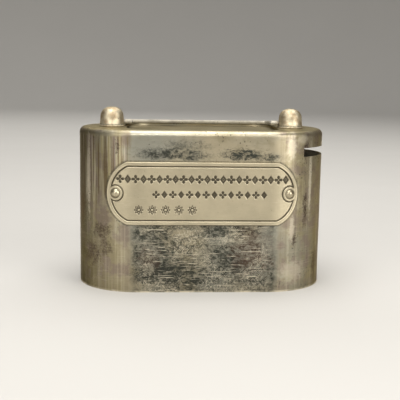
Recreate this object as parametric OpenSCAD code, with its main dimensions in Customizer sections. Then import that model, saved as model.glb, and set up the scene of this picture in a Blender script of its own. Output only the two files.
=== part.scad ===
// Oval home savings bank: a drawn steel case with a folding carry handle between two domed
// posts, a name plate on the front, a coin slot in the right end and a locked trap door.
// The origin is the centre of the base. The front is -Y and the coin slot is at +X.

/* [Case] */
// Overall length of the oval case
case_w = 102; // [98:0.5:108]
// Overall depth of the case, which is also the diameter of its round ends
case_d = 50; // [49:0.5:54]
// Height of the case, up to its rim
case_h = 65.1; // [62:0.1:72]
// Thickness of the drawn steel
wall = 0.9; // [0.8:0.05:1]
// Radius of the rounded top edge
edge_round = 2.3; // [1.8:0.1:3]
// Half-length of the sunk panel in the top
panel_half_w = 31.4; // [29:0.1:31.8]
// Half-depth of the sunk panel in the top
panel_half_d = 20; // [18:0.1:20.5]

/* [Handle] */
// Distance of each domed post from the middle
post_x = 37.6; // [37.4:0.1:38.4]
// Height of a post above the rim
post_h = 8; // [7.5:0.1:9]
// Radius of a post at its foot
post_r = 5.1; // [4.9:0.05:5.15]
// Height of the handle's pivot above the rim
pivot_h = 1.9; // [1.8:0.05:2.1]
// Thickness of the flat handle
handle_t = 1.5; // [1.3:0.05:1.7]
// Reach of the handle from its pivot to the outer side of its grip
handle_reach = 21.4; // [20.8:0.1:22]
// Width of the handle's grip
grip_w = 3.2; // [2.6:0.1:3.6]

/* [Coin slot] */
// Height of the coin slot
slot_h = 3.5; // [3:0.1:3.8]
// Half-length of the coin slot, measured straight across the end
slot_half = 20.7; // [19.8:0.1:20.9]
// Height of the slot's lower edge above the base
slot_z = 54.8; // [53:0.1:55.2]

/* [Name plate] */
// Height of the name plate
name_h = 25.3; // [23:0.1:27]
// Height of the name plate's centre above the base
name_z = 40.15; // [38:0.05:42]
// Half-length of the plate's straight edges
name_straight = 30.25; // [28:0.05:31]
// Half-length of the plate to the tips of its round ends
name_half = 38.36; // [37:0.02:39]
// Sideways shift of the plate from the middle
name_shift = -0.7; // [-1:0.1:1]
// Thickness of the name plate
name_t = 0.8; // [0.6:0.05:1]

/* [Trap door] */
// Height of the closed door's outer face above the base
door_z = 1; // [1:0.05:1.1]
// Gap all round between the door and the case
door_gap = 0.35; // [0.25:0.05:0.5]
// Distance that the lock bolt travels
bolt_travel = 3.4; // [3:0.1:3.5]

/* [Hidden] */
$fn = 48;

SIDES = [-1, 1];
through = 1;             // how far a cut runs past the face it opens
running_gap = 0.05;      // between a pin and the part that turns on it, and round the bolt
seam = 0.02;             // between two parts that lie against each other
half_straight = (case_w - case_d) / 2;
case_r = case_d / 2;
inner_r = case_r - wall;
ceiling_z = case_h - wall;
panel_corner_r = 11;

stud_shank_r = 1.75;
stud_tail_r = 2.6;
stud_tail_h = 0.8;
stud_core_h = 3.1;
post_wall = 0.7;
post_top_r = post_r - 0.25;   // the post narrows a little from its foot to its dome
post_flange_r = post_r + 0.35;
post_flange_h = 0.5;

pivot_z = case_h + pivot_h;
handle_pin_r = 0.5;
pin_depth = 1.5;              // how far the handle's pin runs past the middle of a post
knuckle_r = 1;
knuckle_in = 29.2;            // inner face of each handle knuckle, from the middle
handle_half = 32.4;           // outer side of the handle's arms, from the middle
arm_w = 2.4;
rest_gap = 0.06;              // between the folded handle and the rim
rest_tilt = asin((pivot_h - handle_t / 2 - rest_gap) / handle_reach);
handle_colour = [0.72, 0.71, 0.66];

name_rim = 1.9;
name_field_depth = 0.25;
name_rivet_at = [-35.5, 34.1];   // along the surface, from the middle of the front
rivet_head_r = 1.8;
rivet_head_h = 1.1;
rivet_shank_r = 0.8;

chute_wall = 0.8;
chute_half = 21.5;
chute_x = 34;                 // the chute's mouth into the box
chute_floor = slot_z - 0.3;
chute_roof = slot_z + slot_h + 0.3;
flap_pin_x = 33.1;
flap_pin_z = chute_roof + 1.6;
flap_pin_r = 0.5;
flap_t = 0.6;
flap_barrel_r = 0.95;
flap_half = 21.1;
flap_edge_z = chute_floor + 1.1;   // lower edge of the hanging flap
ear_top = flap_pin_z + 1.2;
spring_wire_r = 0.18;
spring_r = 0.9;
spring_turns = 4;
spring_half = 2.4;

door_t = 0.9;
door_top = door_z + door_t;
door_r = inner_r - door_gap;
frame_z = door_top + 0.1;
frame_t = 0.9;
frame_ledge_r = inner_r - 4;
frame_h = 6;
hinge_y = inner_r - 1.7;
hinge_z = door_z + door_t / 2;
hinge_barrel_r = 1.1;
hinge_pin_r = 0.6;
door_back_y = hinge_y - 1.4;
door_corner_x = 31.5;         // where the door's back corners are cut off to clear the case
door_corner_y = 19.4;
fixed_knuckles = [[-23, -15], [-5, 5], [15, 23]];
door_knuckles = [[-14.8, -5.2], [5.2, 14.8]];
hinge_half = 23;
leaf_top = 9;
leaf_rivet_x = [-18, 0, 18];
leaf_rivet_r = 0.9;
leaf_rivet_z = frame_z + 4.2;
leaf_y = inner_r - 2 * frame_t;

lock_x = 12;
lock_front = -18.6;
lock_back = -3.6;
lock_floor_t = 1.2;
lock_wall = 0.8;
lock_floor_z = door_top + lock_floor_t;
lock_cap_z = door_top + 5.7;
lock_cap_t = 0.8;
lock_rivet_x = 10.2;
lock_rivet_y = [-16.8, -5.4];
lock_rivet_r = 0.9;
key_x = 4.5;
key_y = -9.6;
keyhole_r = 1.9;
key_slot_w = 1.5;
key_slot_l = 4.6;
bolt_x = [-7, 0.6];
bolt_z = lock_floor_z + running_gap;
bolt_t = 2;
bolt_reach = 0.5;             // between the thrown bolt's nose and the frame's upright
bolt_nose_y = -(inner_r - frame_t - bolt_reach) + bolt_travel;
bolt_tail_y = -7;

steel = [0.7, 0.67, 0.58];
dark_steel = [0.45, 0.43, 0.4];
brass = [0.72, 0.6, 0.36];

// ---------- shared shapes ----------

// Flat oval outline whose round ends have radius r
module oval(r) {
    square([2 * half_straight, 2 * r], center = true);
    for (side = SIDES) translate([side * half_straight, 0]) circle(r, $fn = 96);
}

// Half of the case's cross-section, radius r and height h, with its top corner rounded
module rounded_half_profile(r, h, corner) {
    square([r - corner, h]);
    square([r, h - corner]);
    translate([r - corner, h - corner]) circle(corner);
}

// Oval block whose top edge is rounded
module rounded_oval(r, h, corner) {
    rotate([90, 0, 90]) translate([0, 0, -half_straight]) linear_extrude(2 * half_straight) {
        rounded_half_profile(r, h, corner);
        mirror([1, 0]) rounded_half_profile(r, h, corner);
    }
    for (side = SIDES)
        translate([side * half_straight, 0, 0]) rotate([0, 0, side * 90 - 180])
            rotate_extrude(angle = 180, $fn = 96) rounded_half_profile(r, h, corner);
}

// Rectangle of the given half-sizes with corners of radius r
module rounded_panel(half_w, half_d, r) {
    square([2 * half_w, 2 * (half_d - r)], center = true);
    square([2 * (half_w - r), 2 * half_d], center = true);
    for (sx = SIDES, sy = SIDES) translate([sx * (half_w - r), sy * (half_d - r)]) circle(r);
}

// Puts its children on the case's front wall, s along the surface from the middle and z up,
// with their +Z pointing straight out of the wall
module on_front(s, z) {
    side = s < 0 ? -1 : 1;
    turn = max(abs(s) - half_straight, 0) / case_r * 180 / PI;
    translate([side * min(abs(s), half_straight), 0, z]) rotate([0, 0, side * turn])
        translate([0, -case_r, 0]) rotate([90, 0, 0]) children();
}

// Rivet along Z: a domed head above z = 0, a shank grip deep and a flat tail beyond it
module rivet(head_r, head_h, shank_r, grip, tail_r, tail_h) {
    dome_r = (head_r * head_r + head_h * head_h) / (2 * head_h);
    rotate_extrude() {
        intersection() {
            translate([0, head_h - dome_r]) circle(dome_r, $fn = 96);
            square([head_r, head_h]);
        }
        translate([0, -grip - tail_h / 2]) square([shank_r, grip + tail_h / 2]);
        translate([0, -grip - tail_h]) square([tail_r, tail_h]);
    }
}

// Barrel along X between x values span[0] and span[1]
module barrel(span, r, y, z) {
    translate([span[0], y, z]) rotate([0, 90, 0]) cylinder(r = r, h = span[1] - span[0]);
}

// ---------- case and top ----------

module case_shell() {
    color(steel) difference() {
        rounded_oval(case_r, case_h, edge_round);
        translate([0, 0, -through])
            rounded_oval(inner_r, ceiling_z + through, edge_round - wall);
        translate([0, 0, ceiling_z - through]) linear_extrude(wall + 2 * through)
            rounded_panel(panel_half_w, panel_half_d, panel_corner_r);
        translate([half_straight, -slot_half, slot_z]) cube([case_r + through, 2 * slot_half, slot_h]);
        for (side = SIDES) translate([side * post_x, 0, ceiling_z - through])
            cylinder(r = stud_shank_r, h = wall + 2 * through);
        for (s = name_rivet_at) on_front(s, name_z)
            translate([0, 0, -wall - through]) cylinder(r = rivet_shank_r, h = wall + 2 * through);
    }
}

// Plate under the top's opening, which makes the floor of the sunk panel
module top_plate() {
    color(steel) translate([0, 0, ceiling_z - wall]) difference() {
        linear_extrude(wall) oval(inner_r - 1.6);
        for (side = SIDES) translate([side * post_x, 0, -through])
            cylinder(r = stud_shank_r, h = wall + 2 * through);
    }
}

// Outline of a post: a small flange, a slightly tapered side and a round dome
module post_profile(foot_r, top_r, height) {
    polygon([[0, 0], [foot_r, 0], [top_r, height - top_r], [0, height - top_r]]);
    intersection() {
        translate([0, height - top_r]) circle(top_r, $fn = 96);
        square([top_r, height]);
    }
}

// Hole for the handle's pin, from beyond the post's side that faces the middle to depth past
// the post's own middle
module pin_hole(side, depth) {
    ends = [side * (post_x + depth), side * (post_x - post_flange_r - through)];
    barrel([min(ends), max(ends)], handle_pin_r, 0, pivot_z);
}

// Hollow domed post with a hole for the handle's pin
module post(side) {
    color(steel) difference() {
        translate([side * post_x, 0, case_h]) rotate_extrude() difference() {
            union() {
                post_profile(post_r, post_top_r, post_h);
                square([post_flange_r, post_flange_h]);
            }
            translate([0, -through])
                post_profile(post_r - post_wall, post_top_r - post_wall, post_h - post_wall + through);
        }
        pin_hole(side, 0);
    }
}
module post_left() { post(-1); }
module post_right() { post(1); }

// Solid cores inside the posts, each with a shank peened over beneath the top
module post_studs() {
    color(dark_steel) for (side = SIDES) difference() {
        translate([side * post_x, 0, case_h]) rotate_extrude() {
            square([post_top_r - post_wall - 0.1, stud_core_h]);
            translate([0, -2 * wall - stud_tail_h / 2]) square([stud_shank_r, 2 * wall + 1]);
            translate([0, -2 * wall - stud_tail_h]) square([stud_tail_r, stud_tail_h]);
        }
        pin_hole(side, pin_depth);
    }
}

// ---------- handle ----------

// Flat bail with a knuckle at the end of each arm, folded back until its grip rests on the rim
module carry_handle() {
    color(handle_colour) translate([0, 0, pivot_z]) rotate([-rest_tilt, 0, 0]) difference() {
        union() {
            translate([0, 0, -handle_t / 2]) linear_extrude(handle_t) difference() {
                intersection() {
                    translate([0, handle_reach - 30]) rounded_panel(handle_half, 30, 4);
                    translate([-handle_half, 0]) square([2 * handle_half, handle_reach]);
                }
                translate([0, handle_reach - grip_w - 30]) rounded_panel(handle_half - arm_w, 30, 1.6);
            }
            for (side = SIDES)
                barrel([min(side * knuckle_in, side * handle_half),
                        max(side * knuckle_in, side * handle_half)], knuckle_r, 0, 0);
        }
        barrel([-handle_half - through, handle_half + through], handle_pin_r + running_gap, 0, 0);
    }
}

// Pin from a post's core, through the post's wall and the handle's knuckle
module handle_pin(side) {
    ends = [side * (knuckle_in - 0.3), side * (post_x + pin_depth)];
    color(dark_steel)
        barrel([min(ends), max(ends)], handle_pin_r, 0, pivot_z);
}
module handle_pin_left() { handle_pin(-1); }
module handle_pin_right() { handle_pin(1); }

// ---------- name plate ----------

// Face outline of the name plate, set in all round by inset: straight edges and round ends
module name_outline(inset) {
    half_h = name_h / 2 - inset;
    rise = name_half - name_straight;
    end_r = (rise * rise + name_h * name_h / 4) / (2 * rise);
    intersection() {
        square([2 * (name_half - inset), 2 * half_h], center = true);
        union() {
            square([2 * name_straight, 2 * half_h], center = true);
            for (side = SIDES) translate([side * (name_half - end_r), 0])
                circle(end_r - inset, $fn = 96);
        }
    }
}

// Layer over the front wall from radius r_in to r_out, cut to the plate's outline
module name_layer(r_in, r_out, inset) {
    intersection() {
        difference() {
            linear_extrude(case_h) oval(r_out);
            translate([0, 0, -through]) linear_extrude(case_h + 2 * through) oval(r_in);
        }
        translate([name_shift, 0, name_z]) rotate([90, 0, 0]) linear_extrude(2 * case_r)
            name_outline(inset);
    }
}

module name_plate() {
    color([0.72, 0.68, 0.57]) difference() {
        name_layer(case_r + seam, case_r + name_t, 0);
        name_layer(case_r + name_t - name_field_depth, case_r + name_t + through, name_rim);
        for (s = name_rivet_at) on_front(s, name_z) translate([0, 0, -name_t])
            cylinder(r = rivet_shank_r, h = 3 * name_t);
    }
}

// The tails lie a little off the wall, which curves away from them
module name_plate_rivets() {
    plate_seat = name_t - name_field_depth;
    tail_gap = 0.06;
    color(steel) for (s = name_rivet_at) on_front(s, name_z) translate([0, 0, plate_seat])
        rivet(rivet_head_r, rivet_head_h, rivet_shank_r, wall + plate_seat + tail_gap, 1.3, 0.6);
}

// ---------- coin slot ----------

// Flattened funnel behind the slot, soldered to the inside of the round end
module coin_chute() {
    ear_x = [flap_pin_x - 1.3, chute_x + 1];
    color(dark_steel) difference() {
        union() {
            translate([0, 0, chute_floor - chute_wall])
                linear_extrude(chute_roof - chute_floor + 2 * chute_wall) intersection() {
                    translate([half_straight, 0]) circle(inner_r, $fn = 96);
                    translate([chute_x, -chute_half - chute_wall])
                        square([case_r, 2 * (chute_half + chute_wall)]);
                }
            for (side = SIDES) translate([ear_x[0], side * (chute_half + chute_wall / 2), 0])
                translate([0, -chute_wall / 2, flap_pin_z - 3])
                    cube([ear_x[1] - ear_x[0], chute_wall, ear_top - flap_pin_z + 3]);
        }
        translate([chute_x - 5, -chute_half, chute_floor])
            cube([case_r, 2 * chute_half, chute_roof - chute_floor]);
        translate([flap_pin_x, 0, flap_pin_z]) rotate([90, 0, 0])
            cylinder(r = flap_pin_r, h = 3 * case_r, center = true);
    }
}

// Plate that hangs behind the chute's mouth and lets coins in but not out
module coin_flap() {
    barrel_l = 8;
    color(dark_steel) difference() {
        union() {
            translate([flap_pin_x - flap_t / 2, -flap_half, flap_edge_z])
                cube([flap_t, 2 * flap_half, flap_pin_z - flap_edge_z - 1.5]);
            for (side = SIDES) {
                translate([flap_pin_x, side * (flap_half - barrel_l / 2), flap_pin_z])
                    rotate([90, 0, 0]) cylinder(r = flap_barrel_r, h = barrel_l, center = true);
                translate([flap_pin_x - flap_t / 2, side * (flap_half - barrel_l / 2) - barrel_l / 2,
                           flap_pin_z - 2]) cube([flap_t, barrel_l, 2]);
            }
        }
        translate([flap_pin_x, 0, flap_pin_z]) rotate([90, 0, 0])
            cylinder(r = flap_pin_r + running_gap, h = 3 * case_r, center = true);
    }
}

module flap_pin() {
    color(steel) translate([flap_pin_x, 0, flap_pin_z]) rotate([90, 0, 0])
        cylinder(r = flap_pin_r, h = 2 * (chute_half + chute_wall + 0.2), center = true);
}

// Centre line of the flap spring: a leg down behind the flap, a coil on the pin, a leg up to the top
coil_steps = 12;
spring_path = concat(
    [[-flap_t / 2 - spring_wire_r - 0.02, -spring_half, -5.2]],
    [for (i = [0 : spring_turns * coil_steps])
        let (a = 180 + 360 * i / coil_steps)
        [spring_r * cos(a), -spring_half + 2 * spring_half * i / (spring_turns * coil_steps),
         spring_r * sin(a)]],
    [[-spring_r, spring_half, ceiling_z - wall - flap_pin_z - 0.1]]
);

function unit(v) = v / norm(v);
// Direction of the path at point i
function heading(path, i) =
    unit(path[min(i + 1, len(path) - 1)] - path[max(i - 1, 0)]);
// Ring of n points of radius r round point i of the path
function ring(path, i, r, n) =
    let (t = heading(path, i), u = unit(cross(t, [0.31, 1, 0.17])), v = cross(t, u))
    [for (k = [0 : n - 1]) path[i] + r * (u * cos(360 * k / n) + v * sin(360 * k / n))];

// Round wire of radius r along the points of path, with n sides
module wire(path, r, n) {
    last = len(path) - 1;
    points = [for (i = [0 : last]) each ring(path, i, r, n)];
    faces = concat(
        [[for (k = [0 : n - 1]) n - 1 - k]],
        [for (i = [0 : last - 1], k = [0 : n - 1])
            [i * n + k, i * n + (k + 1) % n, (i + 1) * n + (k + 1) % n, (i + 1) * n + k]],
        [[for (k = [0 : n - 1]) last * n + k]]
    );
    polyhedron(points, faces);
}

module flap_spring() {
    color(steel) translate([flap_pin_x, 0, flap_pin_z]) wire(spring_path, spring_wire_r, 6);
}

// ---------- base frame and trap door ----------

module leaf_rivet_holes() {
    for (x = leaf_rivet_x) translate([x, case_r, leaf_rivet_z]) rotate([90, 0, 0])
        cylinder(r = leaf_rivet_r, h = case_r - leaf_y + through);
}

// Ring soldered inside the foot of the case, with a ledge that the door closes against
module base_frame() {
    color(dark_steel) difference() {
        translate([0, 0, frame_z]) linear_extrude(frame_h) oval(inner_r);
        translate([0, 0, frame_z + frame_t]) linear_extrude(frame_h) oval(inner_r - frame_t);
        translate([0, 0, frame_z - through]) linear_extrude(frame_h) oval(frame_ledge_r);
        translate([-hinge_half - 1.5, door_back_y, frame_z - through])
            cube([2 * hinge_half + 3, 5, frame_t + through + 0.1]);
        leaf_rivet_holes();
    }
}

// Fixed half of the door's hinge, riveted to the upright of the frame
module hinge_leaf() {
    leaf_foot = frame_z + frame_t + 0.3;
    color(steel) difference() {
        union() {
            translate([-hinge_half, leaf_y, leaf_foot])
                cube([2 * hinge_half, frame_t, leaf_top - leaf_foot]);
            for (span = fixed_knuckles) {
                barrel(span, hinge_barrel_r, hinge_y, hinge_z);
                translate([span[0], leaf_y, hinge_z])
                    cube([span[1] - span[0], frame_t, leaf_top - hinge_z]);
            }
        }
        barrel([-hinge_half - through, hinge_half + through], hinge_pin_r, hinge_y, hinge_z);
        leaf_rivet_holes();
    }
}

module hinge_leaf_rivets() {
    head = [1.7, 0.7];
    color(steel) for (x = leaf_rivet_x) translate([x, leaf_y, leaf_rivet_z])
        rotate([90, 0, 0]) rotate_extrude() {
            square(head);
            translate([0, -2 * frame_t]) square([leaf_rivet_r, 2 * frame_t + head[1] / 2]);
        }
}

module hinge_pin() {
    color(steel) barrel([-hinge_half - 0.4, hinge_half + 0.4], hinge_pin_r, hinge_y, hinge_z);
}

// Staple on the frame's ledge that the bolt runs into
module bolt_keeper() {
    foot_w = 1.7;
    gap = 0.3;
    bridge_t = 0.8;
    outer = [bolt_x[0] - gap - foot_w, bolt_x[1] + gap + foot_w];
    keeper_y = -inner_r + frame_t + 0.2;
    keeper_l = 2.6;
    base = frame_z + frame_t;
    bridge = bolt_z + bolt_t + gap;
    color(steel) translate([0, keeper_y, 0]) difference() {
        translate([outer[0], 0, base]) cube([outer[1] - outer[0], keeper_l, bridge + bridge_t - base]);
        translate([bolt_x[0] - gap, -through, base - through])
            cube([bolt_x[1] - bolt_x[0] + 2 * gap, keeper_l + 2 * through, bridge - base + through]);
    }
}

// Keyhole outline: a round hole for the key's barrel and a slot for its bit
module keyhole() {
    circle(keyhole_r);
    translate([-key_slot_w / 2, 0]) square([key_slot_w, key_slot_l]);
}

// Trap door: an oval plate cut straight along the hinge, with its own knuckles
module bottom_door() {
    color(steel) difference() {
        union() {
            translate([0, 0, door_z]) linear_extrude(door_t) intersection() {
                oval(door_r);
                polygon([[-case_w, -case_r], [case_w, -case_r], [case_w, door_corner_y],
                         [door_corner_x + 1.6, door_corner_y], [door_corner_x, door_back_y],
                         [-door_corner_x, door_back_y], [-door_corner_x - 1.6, door_corner_y],
                         [-case_w, door_corner_y]]);
            }
            for (span = door_knuckles) {
                barrel(span, hinge_barrel_r, hinge_y, hinge_z);
                translate([span[0], door_back_y - 0.5, door_z])
                    cube([span[1] - span[0], hinge_y - door_back_y + 0.5, door_t]);
            }
        }
        barrel([-hinge_half, hinge_half], hinge_pin_r + running_gap, hinge_y, hinge_z);
        translate([key_x, key_y, door_z - through]) linear_extrude(door_t + 2 * through) keyhole();
        for (side = SIDES, y = lock_rivet_y) translate([side * lock_rivet_x, y, door_z - through])
            cylinder(r = lock_rivet_r, h = door_t + 2 * through);
    }
}

// Thin disc round the keyhole on the door's outer face
module keyhole_escutcheon() {
    thickness = 0.4;
    color(brass) translate([key_x, key_y, door_z - thickness]) difference() {
        cylinder(r = 5.4, h = thickness);
        translate([0, 0, -through]) linear_extrude(thickness + 2 * through) keyhole();
    }
}

// ---------- lock ----------

// Tray on the inside of the door that holds the lock's parts
module lock_case() {
    size = [2 * lock_x, lock_back - lock_front, lock_cap_z - door_top];
    color(dark_steel) difference() {
        translate([-lock_x, lock_front, door_top]) cube(size);
        translate([-lock_x + lock_wall, lock_front + lock_wall, lock_floor_z])
            cube([size[0] - 2 * lock_wall, size[1] - 2 * lock_wall, size[2]]);
        translate([bolt_x[0] - 0.1, lock_front - through, lock_floor_z])
            cube([bolt_x[1] - bolt_x[0] + 0.2, lock_wall + 2 * through, bolt_t + 0.15]);
        translate([key_x, key_y, door_top - through])
            linear_extrude(lock_floor_t + 2 * through) keyhole();
        for (side = SIDES, y = lock_rivet_y) translate([side * lock_rivet_x, y, door_top - through])
            cylinder(r = lock_rivet_r, h = lock_floor_t + 2 * through);
    }
}

module lock_cap() {
    color(dark_steel) difference() {
        translate([-lock_x, lock_front, lock_cap_z])
            cube([2 * lock_x, lock_back - lock_front, lock_cap_t]);
        for (side = SIDES, y = lock_rivet_y) translate([side * lock_rivet_x, y, lock_cap_z - through])
            cylinder(r = lock_rivet_r, h = lock_cap_t + 2 * through);
        translate([key_x, key_y, lock_cap_z - through])
            cylinder(r = 0.8, h = lock_cap_t + 2 * through);
    }
}

// Four rivets through the door, the lock case and its cap
module lock_rivets() {
    color(steel) for (side = SIDES, y = lock_rivet_y)
        translate([side * lock_rivet_x, y, lock_cap_z + lock_cap_t])
            rivet(1.3, 0.7, lock_rivet_r, lock_cap_z + lock_cap_t - door_z, 1.4, 0.4);
}

// Fixed post that a hollow key fits over
module drill_pin() {
    color(steel) translate([key_x, key_y, door_z + 0.2])
        cylinder(r = 0.8, h = lock_cap_z + lock_cap_t - door_z - 0.2);
}

// Split ring under the cap that only the right key's bit passes
module ward_ring() {
    ring_r = 3.3;
    ring_h = 1.4;
    color(brass) translate([key_x, key_y, lock_cap_z - ring_h]) difference() {
        cylinder(r = ring_r, h = ring_h);
        translate([0, 0, -through]) cylinder(r = ring_r - 0.7, h = ring_h + 2 * through);
        translate([-key_slot_w, 0, -through]) cube([2 * key_slot_w, ring_r + 1, ring_h + 2 * through]);
    }
}

// Bolt, drawn back clear of its keeper, with a notch in its side for the key's bit
module lock_bolt() {
    notch = [1.6, 3.2];
    color(brass) difference() {
        translate([bolt_x[0], bolt_nose_y, bolt_z])
            cube([bolt_x[1] - bolt_x[0], bolt_tail_y - bolt_nose_y, bolt_t]);
        translate([bolt_x[1] - notch[0], key_y - notch[1] / 2 + 1, bolt_z - through])
            cube([notch[0] + through, notch[1], bolt_t + 2 * through]);
    }
}

// Bowed leaf between the tray's wall and the bolt, which keeps the bolt where the key leaves it
module bolt_spring() {
    leaf_t = 0.25;
    span = 9.2;
    wall_x = -lock_x + lock_wall;
    bow = bolt_x[0] - running_gap - wall_x;
    bow_r = (bow * bow + span * span / 4) / (2 * bow);
    color(steel) translate([wall_x, (lock_front + lock_back) / 2, bolt_z + 0.3])
        linear_extrude(bolt_t - 0.6) intersection() {
            translate([bow - bow_r, 0]) difference() {
                circle(bow_r, $fn = 96);
                circle(bow_r - leaf_t, $fn = 96);
            }
            translate([seam, -span / 2]) square([bow, span]);
        }
}

// ---------- what is drawn ----------

case_shell();
top_plate();
post_left();
post_right();
post_studs();
carry_handle();
handle_pin_left();
handle_pin_right();
name_plate();
name_plate_rivets();
coin_chute();
coin_flap();
flap_pin();
flap_spring();
base_frame();
hinge_leaf();
hinge_leaf_rivets();
hinge_pin();
bolt_keeper();
bottom_door();
keyhole_escutcheon();
lock_case();
lock_cap();
lock_rivets();
drill_pin();
ward_ring();
lock_bolt();
bolt_spring();
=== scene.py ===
"""Looks of the oval home savings bank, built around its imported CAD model.

Shapes are worked out in millimetres in the CAD's own frame, and become metres as their meshes are made.
"""

import math

import bmesh
import bpy
import numpy as np
from mathutils import Matrix, Vector


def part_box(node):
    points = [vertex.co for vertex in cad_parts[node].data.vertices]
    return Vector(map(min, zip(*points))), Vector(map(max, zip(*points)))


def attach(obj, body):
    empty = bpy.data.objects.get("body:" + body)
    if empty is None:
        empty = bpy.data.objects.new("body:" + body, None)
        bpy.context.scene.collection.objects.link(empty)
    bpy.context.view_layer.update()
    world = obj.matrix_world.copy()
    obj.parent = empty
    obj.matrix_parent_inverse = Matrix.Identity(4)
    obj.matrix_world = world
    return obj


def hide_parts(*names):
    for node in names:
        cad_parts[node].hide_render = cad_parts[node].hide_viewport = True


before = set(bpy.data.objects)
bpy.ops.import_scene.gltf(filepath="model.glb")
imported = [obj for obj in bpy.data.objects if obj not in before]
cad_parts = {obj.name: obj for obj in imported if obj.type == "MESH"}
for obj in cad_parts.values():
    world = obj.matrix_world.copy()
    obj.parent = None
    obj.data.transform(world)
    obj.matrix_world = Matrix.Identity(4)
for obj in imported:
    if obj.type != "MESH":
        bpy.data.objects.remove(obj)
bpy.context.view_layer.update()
MM = 0.001


# ---------- sizes read from the frame ----------


def box_mm(node):
    """Lowest and highest corner of a CAD node, in millimetres."""
    low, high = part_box(node)
    return np.array(low) / MM, np.array(high) / MM


CASE_HIGH = box_mm("case_shell")[1]
CASE_R = round(CASE_HIGH[1], 1)
HALF_STRAIGHT = round(CASE_HIGH[0], 1) - CASE_R
CASE_H = round(CASE_HIGH[2], 2)
WALL = round(CASE_H - box_mm("top_plate")[1][2], 2)
# Sizes that no box tells, as in the CAD model
EDGE_ROUND = 2.3
ROUND_START = CASE_H - EDGE_ROUND
PANEL_HALF_W = 31.4
PANEL_HALF_D = 20.0
PANEL_CORNER = 11.0


def slot_edges():
    """Lower edge, upper edge and half-length of the coin slot, from the CAD case's right end."""
    corners = np.array([v.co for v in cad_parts["case_shell"].data.vertices]) / MM
    right_end = corners[:, 0] > HALF_STRAIGHT + CASE_R / 2
    upper_wall = (corners[:, 2] > CASE_H / 2) & (corners[:, 2] < ROUND_START - 1)
    slot = corners[right_end & upper_wall]
    return slot[:, 2].min(), slot[:, 2].max(), abs(slot[:, 1]).max()


SLOT_LOW, SLOT_HIGH, SLOT_HALF = slot_edges()
# Half of the turn, in degrees, that the slot takes of the round end
SLOT_TURN = math.degrees(math.asin(SLOT_HALF / CASE_R))

PLATE_LOW, PLATE_HIGH = box_mm("name_plate")
PLATE_T = -PLATE_LOW[1] - CASE_R
PLATE_R = CASE_R + PLATE_T
PLATE_Z = (PLATE_LOW[2] + PLATE_HIGH[2]) / 2
PLATE_HALF_H = (PLATE_HIGH[2] - PLATE_LOW[2]) / 2
# Sizes of the plate and its rivets that no box tells: round ends, raised border, bosses, heads, sunk field
PLATE_END_R = 13.6
PLATE_RIM = 1.85
BOSS_R = 3.2
RIVET_HEAD_R = 1.8
RIVET_HEAD_H = 1.1
FIELD_SINK = 0.24
PLATE_FIELD = PLATE_T - FIELD_SINK


def unrolled(x):
    """Distance along the plate's face at which it reaches that x."""
    beyond = max(abs(x) - HALF_STRAIGHT, 0)
    return math.copysign(min(abs(x), HALF_STRAIGHT) + PLATE_R * math.asin(beyond / PLATE_R), x)


PLATE_TIPS = (unrolled(PLATE_LOW[0]), unrolled(PLATE_HIGH[0]))
PLATE_MIDDLE = sum(PLATE_TIPS) / 2
PLATE_HALF = (PLATE_TIPS[1] - PLATE_TIPS[0]) / 2
# Where the plate's straight edges end and its round ends begin, from its middle
PLATE_STRAIGHT = PLATE_HALF - PLATE_END_R


# ---------- mesh helpers ----------

# In metres: points closer than these become one, and edges shorter than the last are dropped
SAME_POINT = 2e-7
SAME_CAD_POINT = 1e-6
NO_LENGTH = 1e-8
# In degrees: faces that turn by less than the first are one flat face, edges over the second are rounded
FLAT_WITHIN = 0.2
ROUNDED_OVER = 35.0


def make_mesh(name, points, faces, sharp_over, attributes=None):
    """Smooth-shaded object from points in millimetres, with its faces turned outwards.

    Edges that turn by more than sharp_over degrees are drawn sharp.
    """
    mesh = bpy.data.meshes.new(name)
    mesh.from_pydata((np.asarray(points, float) * MM).tolist(), [], [list(map(int, f)) for f in faces])
    for key, values in (attributes or {}).items():
        mesh.attributes.new(key, "FLOAT", "POINT").data.foreach_set("value", np.asarray(values, np.float32))
    work = bmesh.new()
    work.from_mesh(mesh)
    bmesh.ops.remove_doubles(work, verts=work.verts, dist=SAME_POINT)
    bmesh.ops.dissolve_degenerate(work, edges=work.edges, dist=NO_LENGTH)
    bmesh.ops.recalc_face_normals(work, faces=work.faces)
    work.to_mesh(mesh)
    work.free()
    mesh.polygons.foreach_set("use_smooth", [True] * len(mesh.polygons))
    mesh.set_sharp_from_angle(angle=math.radians(sharp_over))
    made = bpy.data.objects.new(name, mesh)
    bpy.context.scene.collection.objects.link(made)
    return made


def grid_faces(rows, columns, wrap_rows=False, wrap_columns=False):
    """Quads between points that are numbered row by row."""
    row = np.arange(rows if wrap_rows else rows - 1)
    column = np.arange(columns if wrap_columns else columns - 1)
    row, column = np.meshgrid(row, column, indexing="ij")
    next_row = (row + 1) % rows
    next_column = (column + 1) % columns
    corners = [row * columns + column, row * columns + next_column,
               next_row * columns + next_column, next_row * columns + column]
    return np.stack(corners, -1).reshape(-1, 4)


def lathe(profile, origin, axis, sides):
    """Points and faces of a profile of (radius, height) turned round an axis through origin."""
    axis = Vector(axis).normalized()
    across = axis.orthogonal().normalized()
    other = axis.cross(across)
    turn = np.linspace(0, 2 * math.pi, sides, endpoint=False)
    ring = np.outer(np.cos(turn), across) + np.outer(np.sin(turn), other)
    points = [np.array(origin) + r * ring + h * np.array(axis) for r, h in profile]
    return np.concatenate(points), grid_faces(len(profile), sides, wrap_columns=True)


def join_parts(parts):
    """One array of points and one list of faces from several."""
    points, faces, count = [], [], 0
    for part_points, part_faces in parts:
        points.append(part_points)
        faces += [[corner + count for corner in face] for face in part_faces]
        count += len(part_points)
    return np.concatenate(points), faces


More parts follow.
